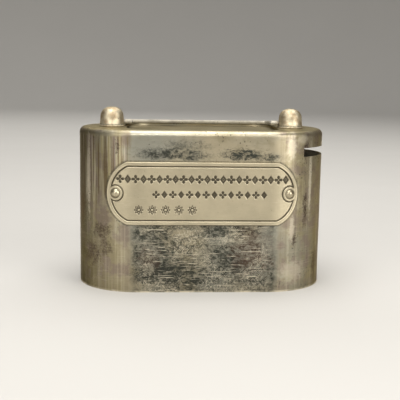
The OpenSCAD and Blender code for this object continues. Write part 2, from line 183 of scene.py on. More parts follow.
def arc(centre, radius, start, end, steps):
    """Points (across, up) on an arc between two angles in degrees."""
    angles = np.radians(np.linspace(start, end, steps))
    return [(centre[0] + radius * math.cos(a), centre[1] + radius * math.sin(a)) for a in angles]


def soften(thing, width, segments=2):
    """Rounded edges on a piece or a CAD node, by modifiers."""
    weld = thing.modifiers.new("weld", "WELD")
    weld.merge_threshold = SAME_CAD_POINT
    flat = thing.modifiers.new("flat_faces", "DECIMATE")
    flat.decimate_type = "DISSOLVE"
    flat.angle_limit = math.radians(FLAT_WITHIN)
    bevel = thing.modifiers.new("edges", "BEVEL")
    bevel.width = width * MM
    bevel.segments = segments
    bevel.limit_method = "ANGLE"
    bevel.angle_limit = math.radians(ROUNDED_OVER)
    bevel.use_clamp_overlap = True
    normals = thing.modifiers.new("normals", "WEIGHTED_NORMAL")
    normals.keep_sharp = False
    thing.data.polygons.foreach_set("use_smooth", [True] * len(thing.data.polygons))


# ---------- procedural materials ----------

# Sockets by number, for nodes that use a socket's name more than once
VALUE, FROM_LOW, FROM_HIGH, TO_LOW, TO_HIGH = range(5)
AMOUNT, COLOUR_A, COLOUR_B, MIXED_COLOUR = 0, 6, 7, 2
# Tint of the metals' mirror colour at grazing angles
GRAZING_TINT = (0.62, 0.56, 0.44, 1.0)


class Surface:
    """A node material whose pattern is fixed to the object, in millimetres.

    In the functions below, s is the Surface that they work on.
    """

    def __init__(self, name, metallic=1.0):
        """Starts the material, with where as the place on the object, and x, y and z as its parts."""
        self.material = bpy.data.materials.new(name)
        self.material.use_nodes = True
        self.tree = self.material.node_tree
        self.shader = self.tree.nodes["Principled BSDF"]
        self.shader.inputs["Metallic"].default_value = metallic
        coordinates = self.tree.nodes.new("ShaderNodeTexCoord").outputs["Object"]
        self.where = self.stretch(coordinates, (1 / MM, 1 / MM, 1 / MM))
        parts = self.tree.nodes.new("ShaderNodeSeparateXYZ")
        self.tree.links.new(self.where, parts.inputs[0])
        self.x, self.y, self.z = parts.outputs

    def add(self, kind, inputs, output=0, **settings):
        """Output of a new node, with each input set to a value or linked to a socket."""
        made = self.tree.nodes.new(kind)
        for key, value in settings.items():
            setattr(made, key, value)
        for key, value in inputs.items():
            if isinstance(value, bpy.types.NodeSocket):
                self.tree.links.new(value, made.inputs[key])
            else:
                made.inputs[key].default_value = value
        return made.outputs[output]

    def stretch(self, vector, scale, shift=(0, 0, 0)):
        """The vector, scaled and then shifted."""
        return self.add("ShaderNodeMapping", {"Vector": vector, "Location": shift, "Scale": scale})

    def noise(self, scale, detail=4.0, roughness=0.55, stretch=(1, 1, 1), shift=(0, 0, 0), warp=0.0):
        """Cloudy pattern from about 0.3 to 0.7; scale is its number of clouds to a millimetre."""
        return self.add("ShaderNodeTexNoise", {
            "Vector": self.stretch(self.where, stretch, shift), "Scale": scale, "Detail": detail,
            "Roughness": roughness, "Distortion": warp})

    def cells(self, scale, shift=(0, 0, 0)):
        """Distance to the nearest of many scattered points."""
        return self.add("ShaderNodeTexVoronoi", {
            "Vector": self.stretch(self.where, (1, 1, 1), shift), "Scale": scale})

    def step(self, value, start, end, low=0.0, high=1.0):
        """Smooth ramp from low, at start, to high, at end."""
        return self.add("ShaderNodeMapRange", {
            VALUE: value, FROM_LOW: start, FROM_HIGH: end, TO_LOW: low, TO_HIGH: high},
            interpolation_type="SMOOTHSTEP")

    def math(self, operation, a, b=0.0, clamp=False):
        """One step of arithmetic, kept between 0 and 1 where clamp is set."""
        return self.add("ShaderNodeMath", {0: a, 1: b}, operation=operation, use_clamp=clamp)

    def plus(self, a, b, clamp=False):
        return self.math("ADD", a, b, clamp)

    def minus(self, a, b, clamp=False):
        return self.math("SUBTRACT", a, b, clamp)

    def times(self, a, b, clamp=False):
        return self.math("MULTIPLY", a, b, clamp)

    def most(self, a, b):
        return self.math("MAXIMUM", a, b)

    def absolute(self, a):
        return self.math("ABSOLUTE", a)

    def mix(self, amount, a, b):
        """Colour a, turning to b by amount."""
        return self.add("ShaderNodeMix", {AMOUNT: amount, COLOUR_A: colour(a), COLOUR_B: colour(b)},
                        output=MIXED_COLOUR, data_type="RGBA", clamp_factor=True)

    def spot(self, x, z, reach_x, reach_z, ragged):
        """Patch with a ragged edge, as seen from the front: 1 at its middle and 0 outside it."""
        soft = 0.5
        place = self.stretch(self.where, (1 / reach_x, 0, 1 / reach_z), (-x / reach_x, 0, -z / reach_z))
        away = self.add("ShaderNodeVectorMath", {0: place}, output=1, operation="LENGTH")
        return self.step(self.plus(away, ragged), 1 + soft, 1 - soft)

    def finish(self, base, roughness, height, depth):
        """Joins colour, roughness and a relief of the given depth in millimetres to the shader."""
        self.shader.inputs["Specular Tint"].default_value = GRAZING_TINT
        bump = self.add("ShaderNodeBump", {"Strength": 1.0, "Distance": depth * MM, "Height": height})
        for key, value in {"Base Color": base, "Roughness": roughness, "Normal": bump}.items():
            self.tree.links.new(value, self.shader.inputs[key])
        return self.material


def colour(value):
    """A colour socket as it is, or red, green and blue with full alpha."""
    return value if isinstance(value, bpy.types.NodeSocket) else (*value, 1.0)


CHAMPAGNE = (0.54, 0.475, 0.335)
PALE_NICKEL = (0.80, 0.73, 0.57)
COOL_NICKEL = (0.42, 0.41, 0.34)
OLIVE = (0.29, 0.25, 0.145)
PLUM_BROWN = (0.25, 0.195, 0.17)
# Colours of the painted streaky reflections on the ends
STREAK_BROWN = (0.17, 0.125, 0.065)
STREAK_OLIVE = (0.40, 0.345, 0.18)
# Colour of the painted shade towards the round ends and low down
END_SHADE_DARK = (0.105, 0.086, 0.040)
# Soot, also the colour of painted shade
SOOT_AND_SHADE = (0.050, 0.053, 0.044)
# Rusty soot, also the colour of painted shade on the front
RUST_SOOT_AND_SHADE = (0.092, 0.066, 0.050)
# Ink of the engraving, also the colour of the painted shade in the plate's grooves
INK_AND_SHADE = (0.014, 0.011, 0.008)
RUST_BROWN = (0.16, 0.085, 0.045)

# Where the painted streaky reflections on the left end stop, from the middle
STREAK_EDGE = HALF_STRAIGHT + 4
# Clouds of dark tarnish on the front: middle x and z, reach in x and z, strength
FRONT_CLOUDS = [
    (-17, 56.0, 9, 2.4, 0.92), (-8, 59.5, 8, 2.2, 0.6), (-6, 55.6, 7, 2.2, 0.9), (15, 55.8, 8, 2.4, 0.94),
    (25, 55.0, 5, 1.8, 0.8), (-20, 9.0, 8, 6.0, 1.0), (-13, 7.0, 8, 5.5, 1.0), (-17, 18, 8, 5, 0.85),
    (12, 13, 7, 6, 0.98), (21, 18, 6, 5, 0.8), (-4, 4, 9, 2.5, 0.95), (6, 8, 8, 5, 0.7),
]
# Worn patches on the front that stay light
FRONT_LIGHTS = [
    (-8.5, 24, 4.0, 1.8, 0.9), (-1, 15, 3, 4, 0.55), (4, 21, 12, 1.4, 0.6), (-22.5, 10, 2.4, 2.0, 0.6),
    (10, 2.4, 14, 1.2, 0.5), (-25, 2.0, 9, 1.6, 0.6), (26, 22, 4, 6, 0.6),
]
# Parts of the front where the dark is rusty rather than grey
FRONT_RUST = [(20, 17, 8, 9, 1.0), (-22, 14, 4, 5, 0.7), (5, 30, 6, 3, 0.3)]
# Rusty spots on the round ends, in the same form
END_SPOTS = [
    (-41, 24, 3.0, 3.0, 0.7), (-44.5, 15, 2.6, 4, 0.75), (-39.5, 18, 2, 3.5, 0.6), (-49.8, 33, 1.5, 6, 0.9),
    (-35, 59, 0.8, 2.5, 0.8),
    (41, 57.5, 0.9, 3, 0.9), (41.2, 34, 1.0, 6, 0.85), (36.5, 21.5, 1.3, 2.2, 0.8), (47, 10, 1.4, 5, 0.7),
]
# Painted highlights on the round ends, in the same form
END_HIGHLIGHTS = [
    (34.5, 59, 1.8, 5, 0.6), (39.5, 62, 1.8, 1.6, 0.5), (43.4, 45, 0.6, 12, 0.8), (35.5, 26, 1.0, 5, 0.5),
    (49.6, 59.5, 0.6, 0.8, 1.0), (-46.3, 46, 0.5, 15, 0.55), (36, 8, 5, 4, 0.35),
]


def plate_distance(s):
    """Distance on the front from the edge of the name plate, outside it, and far off elsewhere."""
    from_middle = s.absolute(s.minus(s.x, PLATE_MIDDLE))
    beyond = s.most(s.minus(from_middle, HALF_STRAIGHT), 0.0)
    bend = s.math("DIVIDE", s.math("POWER", beyond, 3.0), 6 * PLATE_R ** 2)
    over_x = s.most(s.minus(s.plus(from_middle, bend), PLATE_STRAIGHT), 0.0)
    from_z = s.absolute(s.minus(s.z, PLATE_Z))
    squares = s.plus(s.math("POWER", over_x, 2.0), s.math("POWER", from_z, 2.0))
    past_round = s.minus(s.math("POWER", squares, 0.5), PLATE_END_R)
    outside = s.most(past_round, s.minus(from_z, PLATE_HALF_H))
    not_the_front = s.step(s.y, -12, -14, 60, 0)
    return s.plus(outside, not_the_front)


def strongest(s, patches, ragged):
    """Greatest strength, at each place, of a list of ragged patches, as seen from the front."""
    greatest = 0.0
    for x, z, reach_x, reach_z, strength in patches:
        here = s.times(s.spot(x, z, reach_x, reach_z, ragged), strength)
        greatest = s.most(greatest, here)
    return greatest


def tinted_ends(s, base, medium):
    """Round ends: painted streaky reflections high on the left end and faint on both ends, mottled olive and
    plum below and to the right.
    """
    round_end = s.step(s.absolute(s.x), STREAK_EDGE - 1.2, STREAK_EDGE + 0.6)
    blotch = s.noise(0.13, 5, 0.65, shift=(3, 8, 2), warp=0.5)
    base = s.mix(s.times(s.step(blotch, 0.45, 0.62, 0.25, 0.75), round_end), base, OLIVE)
    base = s.mix(s.times(s.step(medium, 0.48, 0.60, 0, 0.6), round_end), base, PLUM_BROWN)

    # Painted streaky reflections: light and dark lines and olive and plum bands, high on the left end and
    # faint on both ends
    high = s.step(s.plus(s.z, s.times(blotch, 24.0)), 44, 54)
    left = s.step(s.x, -STREAK_EDGE, -STREAK_EDGE - 0.5, 0, 0.95)
    below_edge = s.step(s.z, ROUND_START + 0.2, ROUND_START - 0.8)
    high_left = s.times(s.times(high, left), below_edge)
    streaked = s.most(high_left, s.times(round_end, 0.16))
    lines = s.noise(1.15, 3, 0.6, stretch=(1, 0.35, 0.016))
    hue = s.noise(0.30, 2, 0.5, stretch=(1, 0.35, 0.03), shift=(5, 1, 3))
    base = s.mix(s.times(s.step(hue, 0.52, 0.60, 0, 0.8), streaked), base, STREAK_OLIVE)
    base = s.mix(s.times(s.step(hue, 0.46, 0.40, 0, 0.8), streaked), base, PLUM_BROWN)
    base = s.mix(s.times(s.step(lines, 0.46, 0.38, 0, 0.9), streaked), base, STREAK_BROWN)
    return s.mix(s.times(s.step(lines, 0.55, 0.63, 0, 0.8), streaked), base, PALE_NICKEL)


def plating(s, medium):
    """Warm and cool nickel, tarnished olive in places, with painted shade towards both ends, low down, along
    the far left edge and on the top of the rim.
    """
    base = s.mix(s.step(s.noise(0.032, 3, 0.5), 0.40, 0.62), CHAMPAGNE, COOL_NICKEL)
    base = s.mix(s.step(medium, 0.5, 0.75, 0, 0.5), base, OLIVE)
    # Painted shade: darker towards both far ends and towards the bottom
    tip = HALF_STRAIGHT + CASE_R
    far_left = s.step(s.x, -HALF_STRAIGHT - 6, -tip, 0, 0.74)
    far_right = s.step(s.x, HALF_STRAIGHT + 8, tip, 0, 0.52)
    low_end = s.times(s.step(s.z, 40, 4, 0, 0.34), s.step(s.absolute(s.x), 24, 30, 0.6, 1.0))
    below_ledge = s.step(s.z, CASE_H - 0.6, CASE_H - 2.4, 0.35, 1.0)
    painted_end_shade = s.times(s.plus(s.most(far_left, far_right), low_end), below_ledge)
    base = tinted_ends(s, s.mix(painted_end_shade, base, END_SHADE_DARK), medium)
    # Painted dark reflection along the far left edge, below the rim
    left_edge = s.times(s.step(s.x, 7 - tip, -tip, 0, 0.75), s.step(s.z, CASE_H - 0.6, CASE_H - 2.4))
    base = s.mix(left_edge, base, SOOT_AND_SHADE)
    # Painted shade: the top of the rim is darkened towards olive
    return s.mix(s.step(s.z, CASE_H - 0.5, CASE_H - 0.05, 0, 0.62), base, OLIVE)


def end_marks(s, base, fine):
    """Rusty spots and painted highlights on the round ends."""
    uneven = s.minus(s.times(s.noise(0.55, 6, 0.75, shift=(9, 1, 4), warp=0.5), 3.0), 1.5)
    spots = strongest(s, END_SPOTS, s.times(uneven, 1.8))
    spots = s.times(spots, s.step(fine, 0.60, 0.45, 0.3, 1.15), clamp=True)
    base = s.mix(spots, base, RUST_SOOT_AND_SHADE)
    # Painted highlights, on the front half of the ends only
    end_highlight = strongest(s, END_HIGHLIGHTS, s.times(uneven, 0.7))
    on_front = s.step(s.y, 2, -4)
    return s.mix(s.times(end_highlight, on_front), base, PALE_NICKEL)


def front_tarnish_and_shade(s, fine, ragged):
    """Amount of dark on the flat front: curdled clouds and a haze under the name plate, partly tarnished
    metal and partly painted dark reflection, and painted contact shade round the plate's edge.
    """
    # The dark is kept to the flat front, where it is partly tarnished metal and partly painted dark
    # reflection
    flat_front = s.step(s.y, -CASE_R + 0.9, -CASE_R + 0.1)
    below_plate = s.step(s.plus(s.z, ragged), 31, 28)
    between_ends = s.step(s.plus(s.absolute(s.x), ragged), 31, 27)
    haze = s.times(s.times(below_plate, between_ends), 0.86)
    clouds = s.most(strongest(s, FRONT_CLOUDS, ragged), haze)
    lights = s.times(strongest(s, FRONT_LIGHTS, ragged), 0.62)
    dark = s.minus(clouds, lights, clamp=True)
    curdled = s.noise(0.55, 7, 0.74, stretch=(0.85, 0.85, 1.15), shift=(1, 4, 6), warp=0.9)
    thick = s.plus(s.times(dark, 0.08), s.step(dark, 0.86, 1.0, 0, 0.28))
    dark = s.times(dark, s.step(curdled, 0.66, 0.38, 0.22, 1.12), clamp=True)
    dark = s.times(s.plus(dark, thick, clamp=True), flat_front)
    # Painted contact shade round the name plate's edge
    near_plate = s.step(plate_distance(s), 0.9, 0.1, 0, 0.7)
    plate_contact_shade = s.times(near_plate, s.step(fine, 0.35, 0.65, 1.0, 0.4))
    return s.most(dark, plate_contact_shade)


def pit_marks(s):
    """Amount of dark in small round pits, which stand in loose groups."""
    pits = s.step(s.cells(0.75), 0.30, 0.12)
    groups = s.step(s.noise(0.09, 3, shift=(2, 5, 8)), 0.50, 0.62, 0, 0.8)
    return s.times(pits, groups)


def light_marks(s, medium):
    """Amount of bare bright metal: scratches and curls low on the bank, and its worn foot."""
    low = s.step(s.z, 40, 24, 0.15, 1.0)
    on_flat = s.step(s.absolute(s.x), HALF_STRAIGHT + 2, HALF_STRAIGHT - 4, 0.13, 0.8)
    scratches = s.noise(0.9, 4, 0.6, stretch=(0.13, 0.13, 2.4), shift=(6, 2, 9), warp=0.5)
    scratches = s.times(s.step(scratches, 0.57, 0.67), on_flat)
    curls = s.absolute(s.minus(s.noise(0.42, 4, 0.62, shift=(2, 2, 7), warp=1.4), 0.5))
    groups = s.step(s.noise(0.07, 2, shift=(1, 8, 8)), 0.45, 0.6)
    curls = s.times(s.times(s.step(curls, 0.022, 0.003), groups), on_flat)
    marks = s.times(s.most(scratches, curls), low)
    foot = s.times(s.step(s.z, 1.0, 0.2), s.step(medium, 0.44, 0.60, 0.25, 0.9))
    return s.most(marks, foot)


def case_nickel():
    """Worn nickel plate over steel: warm and cool tarnished tones, dark clouds low on the front, pits and
    rubs, with painted shade, painted dark reflection and painted highlights.
    """
    s = Surface("worn_case_nickel")
    medium = s.noise(0.15, 5, 0.6, shift=(7, 3, 1))
    fine = s.noise(1.0, 6, 0.7)
    grit = s.noise(2.6, 4, 0.7, shift=(3, 9, 5))
    ragged = s.noise(0.36, 8, 0.78, stretch=(0.8, 0.8, 1.4), warp=0.8)
    ragged = s.minus(s.times(ragged, 3.4), 1.7)

    base = end_marks(s, plating(s, medium), fine)
    dark = front_tarnish_and_shade(s, fine, ragged)
    dirt_and_shade = s.most(dark, pit_marks(s))
    # Dark of pits and tarnished clouds, and of the painted shade and painted dark reflection on the front
    base = s.mix(dirt_and_shade, base, s.mix(strongest(s, FRONT_RUST, ragged), SOOT_AND_SHADE, RUST_SOOT_AND_SHADE))
    base = s.mix(light_marks(s, medium), base, PALE_NICKEL)

    rounded_edge = s.step(s.z, ROUND_START - 0.8, ROUND_START + 0.6, 0, 0.07)
    roughness = s.plus(s.step(fine, 0.3, 0.75, 0.27, 0.42), s.times(dark, 0.2))
    height = s.plus(s.times(fine, 0.6), s.times(grit, 0.25))
    height = s.minus(height, s.times(dirt_and_shade, 0.6))
    return s.finish(base, s.plus(roughness, rounded_edge), height, 0.035)


def satin_nickel(name, light, shade, rough=(0.30, 0.44), speck=0.9, depth=0.02, filled=False,
                 metallic=1.0, blotch=0.06, dark_band_z=None):
    """Cleaner nickel with fine grain and small dark specks.

    Where filled, the dark stored on the mesh is laid on: ink in the engraving and painted shade in the
    grooves, round the rivets and along the edge. A thin band at the given height is darker too.
    """
    s = Surface(name, metallic)
    broad = s.noise(blotch, 4, 0.6, shift=(4, 1, 7))
    fine = s.noise(1.6, 6, 0.7)
    grain = s.noise(1.2, 4, 0.6, stretch=(0.25, 0.25, 2.5))
    base = s.mix(s.step(broad, 0.38, 0.66), light, shade)
    base = s.mix(s.step(grain, 0.55, 0.8, 0, 0.25), base, PALE_NICKEL)
    specks = s.times(s.step(s.cells(0.9, (1, 6, 2)), 0.24, 0.10), s.step(s.noise(0.2, 2), 0.5, 0.66))
    dark = s.times(s.most(specks, s.step(fine, 0.66, 0.86, 0, 0.5)), speck)
    if filled:
        # Stored dark: ink in the engraving and painted shade in the grooves, round the rivets and along the
        # edge
        groove = s.add("ShaderNodeAttribute", {}, output="Fac", attribute_name="dark")
        dark = s.most(dark, s.times(groove, s.step(fine, 0.25, 0.6, 1.0, 0.86)))
    # A thin darker band at the given height; on the posts, just above the flange
    if dark_band_z is not None:
        near_line = s.step(s.absolute(s.minus(s.z, dark_band_z)), 0.5, 0.1, 0, 0.8)
        dark = s.most(dark, s.times(near_line, s.step(fine, 0.3, 0.6, 1.0, 0.5)))
    base = s.mix(dark, base, INK_AND_SHADE if filled else SOOT_AND_SHADE)
    roughness = s.plus(s.step(fine, 0.3, 0.75, *rough), s.times(dark, 0.2))
    height = s.minus(s.plus(fine, s.times(grain, 0.5)), dark)
    return s.finish(base, roughness, height, depth)


def inner_metal(name, light, shade, rust=0.3):
    """Unplated steel or brass inside the bank: dull, with brown blooms."""
    s = Surface(name)
    broad = s.noise(0.12, 4, 0.6, shift=(9, 2, 4))
    fine = s.noise(1.3, 6, 0.7)
    base = s.mix(s.step(broad, 0.36, 0.66), light, shade)
    bloom = s.times(s.step(s.noise(0.3, 5, 0.7, shift=(5, 5, 1)), 0.5, 0.68), rust)
    base = s.mix(bloom, base, RUST_BROWN)
    roughness = s.plus(s.step(fine, 0.3, 0.75, 0.36, 0.54), s.times(bloom, 0.4))
    return s.finish(base, roughness, s.plus(fine, bloom), 0.03)


# ---------- case ----------


# Rings of points from the foot up to the lower edge of the slot
RINGS_BELOW_SLOT = 46
DENT_SEED = 11
DENT_COUNT = 26


def around_case():
    """Stations round the oval: x of the point each looks out from, its direction, its turn in degrees."""
    end_turn = np.linspace(-90, 90, 113)
    for edge in (-SLOT_TURN, SLOT_TURN):
        end_turn[np.argmin(abs(end_turn - edge))] = edge
    side = np.linspace(-HALF_STRAIGHT, HALF_STRAIGHT, 61)[1:-1]
    right = [(HALF_STRAIGHT, t) for t in end_turn]
    back = [(x, 90.0) for x in side[::-1]]
    left = [(-HALF_STRAIGHT, t + 180) for t in end_turn]
    front = [(x, 270.0) for x in side]
    anchor, turn = np.array(right + back + left + front).T
    return anchor, np.cos(np.radians(turn)), np.sin(np.radians(turn)), turn


def panel_reach(anchor, across, up):
    """Distance from each anchor, along its direction, to the edge of the sunk panel's opening, by halving."""
    farther_than_any = 60.0
    low = np.zeros(len(anchor))
    high = np.full(len(anchor), farther_than_any)
    for _ in range(50):
        middle = (low + high) / 2
        x = abs(anchor + middle * across)
        y = abs(middle * up)
        over_x = np.maximum(x - (PANEL_HALF_W - PANEL_CORNER), 0)
        over_y = np.maximum(y - (PANEL_HALF_D - PANEL_CORNER), 0)
        inside = np.hypot(over_x, over_y) < PANEL_CORNER
        low = np.where(inside, middle, low)
        high = np.where(inside, high, middle)
    return low


def dents(x, y, z):
    """Small smooth hollows in the drawn steel, clear of the name plate."""
    seeded = np.random.default_rng(DENT_SEED)
    hollow = np.zeros_like(z)
    for _ in range(DENT_COUNT):
        turn = seeded.uniform(0, 2 * math.pi)
        at = np.array([math.cos(turn) * (HALF_STRAIGHT + CASE_R), math.sin(turn) * CASE_R])
        at_z = seeded.uniform(4, CASE_H - 6)
        reach = seeded.uniform(4, 11)
        depth = seeded.uniform(0.03, 0.12)
        near_plate = at[1] < -CASE_R / 2 and PLATE_LOW[2] - reach < at_z < PLATE_HIGH[2] + reach
        if not near_plate:
            away = (x - at[0]) ** 2 + (y - at[1]) ** 2 + (z - at_z) ** 2
            hollow += depth * np.exp(-away / (2 * reach ** 2))
    return hollow


def case_rings(opening):
    """Radius and height of the shell's rings: up outside, in to the opening, out again and down inside."""
    count = len(opening)
    crest_r = CASE_R - EDGE_ROUND
    inside_round = EDGE_ROUND - WALL
    heights = np.concatenate([
        np.linspace(0, SLOT_LOW, RINGS_BELOW_SLOT), np.linspace(SLOT_HIGH, ROUND_START, 5)])
    outer_edge = arc((crest_r, ROUND_START), EDGE_ROUND, 0, 90, 12)[1:]
    inner_edge = arc((crest_r, ROUND_START), inside_round, 90, 0, 6)[1:-1]
    rings = [(np.full(count, CASE_R), z) for z in heights]
    rings += [(np.full(count, r), z) for r, z in outer_edge]
    rings += [(crest_r + (opening - crest_r) * t, CASE_H) for t in (0.2, 0.4, 0.6, 0.8, 1)]
    rings += [(opening + (crest_r - opening) * t, CASE_H - WALL) for t in (0, 0.5, 1)]
    rings += [(np.full(count, r), z) for r, z in inner_edge]
    rings += [(np.full(count, CASE_R - WALL), z) for z in heights[::-1]]
    return np.array([r for r, _ in rings]), np.array([np.full(count, z) for _, z in rings])


def cut_slot(faces, ring_count, turn, across):
    """The shell's faces with the coin slot cut through its right end, and the cut's four sides added."""
    count = len(turn)
    low, high = RINGS_BELOW_SLOT - 1, RINGS_BELOW_SLOT
    inner_of = {ring: ring_count - 1 - ring for ring in (low, high)}
    near = 1e-6
    in_slot = np.where((turn >= -SLOT_TURN - near) & (turn <= SLOT_TURN + near) & (across > 0))[0]
    first, last = in_slot[0], in_slot[-1]
    gone = set()
    for ring in (low, inner_of[high]):
        gone |= {ring * count + i for i in range(first, last)}
    kept = [f for f in faces.tolist() if f[0] not in gone]
    for ring in (low, high):
        outer, inner = ring * count, inner_of[ring] * count
        kept += [[outer + i, outer + i + 1, inner + i + 1, inner + i] for i in range(first, last)]
    for i in (first, last):
        kept.append([ring * count + i for ring in (low, high, inner_of[high], inner_of[low])])
    return kept


def build_case():
    """Drawn shell with its rounded top edge, the opening of the sunk panel, the coin slot and small dents."""
    anchor, across, up, turn = around_case()
    radius, z = case_rings(panel_reach(anchor, across, up))
    x = anchor + radius * across
    y = radius * up
    hollow = dents(x, y, z) * np.clip((CASE_H - z) / 4, 0, 1) * np.clip(z / 3, 0, 1)
    points = np.stack([x - hollow * across, y - hollow * up, z], -1).reshape(-1, 3)
    faces = grid_faces(*z.shape, wrap_rows=True, wrap_columns=True)
    case = make_mesh("drawn_case", points, cut_slot(faces, len(z), turn, across), sharp_over=180)
    soften(case, 0.22, segments=3)
    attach(case, "case")
    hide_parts("case_shell")
    return case


# ---------- posts ----------


def build_post(name, node):
    """Hollow blunt dome over a rolled flange, where its CAD post stands on the ledge."""
    low, high = box_mm(node)
    centre_x = (low[0] + high[0]) / 2
    flange_r = (high[0] - low[0]) / 2
    height = high[2] - low[2]
    wall = 0.7
    flange_edge = 0.22
    foot_r = flange_r - 0.35
    shoulder_r = flange_r - 0.62
    shoulder = height * 0.46
    bluntness = 2 / 2.3
    dome = []
    for t in np.linspace(0, math.pi / 2, 18):
        out = math.cos(t) ** bluntness
        rise = math.sin(t) ** bluntness
        dome.append((shoulder_r * out, shoulder + (height - shoulder) * rise))
    outer = [(flange_r - 0.3, 0.0)]
    outer += arc((flange_r - flange_edge, flange_edge), flange_edge, -60, 75, 6)
    outer += [(foot_r + 0.12, 0.47), (foot_r, 0.62)] + dome
    inner = [(max(r - wall, 0), max(z - wall, 0.0)) for r, z in dome[::-1]] + [(foot_r - wall, 0)]
    points, faces = lathe(inner + outer, (centre_x, 0, CASE_H), (0, 0, 1), 72)
    post = make_mesh(name, points, faces, sharp_over=50)
    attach(post, "case")
    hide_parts(node)
    return post


# ---------- handle ----------


def handle_edges(half_w, reach):
    """Outer and inner edge of the flat handle, from its right end round to its left, point for point."""
    arm_w, grip_w, corner_out, corner_in = 2.4, 3.2, 4.0, 1.6
    arm_start = 0.9
    outer, inner = [], []
    for y in np.linspace(arm_start, reach - corner_out, 22):
        outer.append((half_w, y))
        inner.append((half_w - arm_w, min(y, reach - grip_w - corner_in)))
    outer += arc((half_w - corner_out, reach - corner_out), corner_out, 0, 90, 14)[1:]
    inner += arc((half_w - arm_w - corner_in, reach - grip_w - corner_in), corner_in, 0, 90, 14)[1:]
    for x in np.linspace(half_w - corner_out, 0, 24)[1:]:
        outer.append((x, reach))
        inner.append((min(x, half_w - arm_w - corner_in), reach - grip_w))
    outer += [(-x, y) for x, y in outer[-2::-1]]
    inner += [(-x, y) for x, y in inner[-2::-1]]
    return outer, inner


def swept_bar(outer, inner, thickness):
    """Points and faces of a flat bar with soft corners that fills the space between two edges."""
    turn = np.linspace(0, 2 * math.pi, 28, endpoint=False)
    squareness = 0.42
    width = np.sign(np.cos(turn)) * abs(np.cos(turn)) ** squareness
    rise = np.sign(np.sin(turn)) * abs(np.sin(turn)) ** squareness * thickness / 2
    rings = []
    for (outer_x, outer_y), (inner_x, inner_y) in zip(outer, inner):
        middle = np.array([outer_x + inner_x, outer_y + inner_y]) / 2
        half = np.array([outer_x - inner_x, outer_y - inner_y]) / 2
        rings += [[*(middle + half * w), h] for w, h in zip(width, rise)]
    sides = len(turn)
    last = len(rings) - sides
    faces = grid_faces(len(outer), sides, wrap_columns=True).tolist()
    faces += [list(range(sides)), [last + i for i in range(sides)]]
    return np.array(rings), faces


def knuckle(start, length):
    """Points and faces of one rolled barrel round the handle's axis, from x = start."""
    outer_r, bore_r, edge = 1.0, 0.55, 0.18
    profile = [(bore_r, 0.0), (outer_r - edge, 0.0), (outer_r, edge)]
    profile += [(outer_r, length - edge), (outer_r - edge, length), (bore_r, length), (bore_r, 0.0)]
    return lathe(profile, (start, 0, 0), (1, 0, 0), 32)


def build_handle():
    """Flat bail with soft edges, rolled round its pins at both ends, at rest on the back of the rim."""
    low, high = box_mm("carry_handle")
    pin_low, pin_high = box_mm("handle_pin_left")
    pivot = np.array([0, 0, (pin_low[2] + pin_high[2]) / 2])
    thickness = 1.5
    knuckle_in = 29.2
    half_w = high[0]
    reach = high[1]
    bar = swept_bar(*handle_edges(half_w, reach), thickness)
    knuckles = [knuckle(start, half_w - knuckle_in) for start in (-half_w, knuckle_in)]
    points, faces = join_parts([bar] + knuckles)
    tilt = math.asin((pivot[2] - thickness / 2 - low[2]) / reach)
    x, y, z = points.T
    tilted = np.stack([
        x, y * math.cos(tilt) + z * math.sin(tilt), -y * math.sin(tilt) + z * math.cos(tilt)], -1) + pivot
    handle = make_mesh("bail_handle", tilted, faces, sharp_over=50)
    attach(handle, "handle")
    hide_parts("carry_handle")
    return handle


# ---------- name plate ----------


def on_plate(along, z, out):
    """Point over the wall: along the plate's face from the middle of the front, and out from the case."""
    beyond = np.maximum(abs(along) - HALF_STRAIGHT, 0) / PLATE_R
    x = np.sign(along) * (np.minimum(abs(along), HALF_STRAIGHT) + (CASE_R + out) * np.sin(beyond))
    y = -(CASE_R + out) * np.cos(beyond)
    return np.stack([x, y, z], -1)


def rivet_turns():
    """Angle round each end of the case at which the plate's left and right rivets stand."""
    low, high = box_mm("name_plate_rivets")
    turns = []
    for reach in (low[0], high[0]):
        turn = 0.3
        for _ in range(30):
            to_middle = abs(reach) - HALF_STRAIGHT - RIVET_HEAD_R * math.cos(turn)
            turn = math.asin(to_middle / (CASE_R + PLATE_FIELD))
        turns.append(math.copysign(turn, reach))
    return turns


RIVET_TURNS = rivet_turns()
RIVETS_ALONG = [math.copysign(HALF_STRAIGHT, t) + t * PLATE_R for t in RIVET_TURNS]

# Rows of ornament: start and end along the plate, height, number of marks, their size, whether rosettes
ORNAMENT_ROWS = [
    (-33.0, 33.2, 5.75, 22, 1.6, False),
    (-18.6, 24.4, -0.35, 14, 1.45, False),
    (-25.4, -4.2, -6.5, 5, 2.1, True),
]
# Steps of the plate's face that one step of its back takes in
BACK_STEP = 8


def smooth(value, start, end):
    """Smooth ramp from 0, at start, to 1, at end."""
    t = np.clip((value - start) / (end - start), 0, 1)
    return t * t * (3 - 2 * t)


def ridge(distance, width):
    """1 on a line, falling off smoothly on both sides of it."""
    return np.exp(-(distance / width) ** 2)


def lozenge(u, v, wide, tall, line):
    """Depth of an engraved lozenge outline with a dot in its middle."""
    edge = (abs(u) / wide + abs(v) / tall - 1) * wide * tall / math.hypot(wide, tall)
    outline = 1 - smooth(abs(edge + line / 2), line * 0.35, line * 0.75)
    dot = 1 - smooth(np.hypot(u, v), 0.25, 0.5)
    return np.maximum(outline, dot)


def four_leaves(u, v, size):
    """Depth of an engraved flower of four solid leaves."""
    radius, turn = np.hypot(u, v), np.arctan2(v, u)
    leaf = size * abs(np.cos(2 * turn)) ** 0.5
    return (1 - smooth(radius - leaf, -0.12, 0.12)) * smooth(radius, 0.12, 0.3)


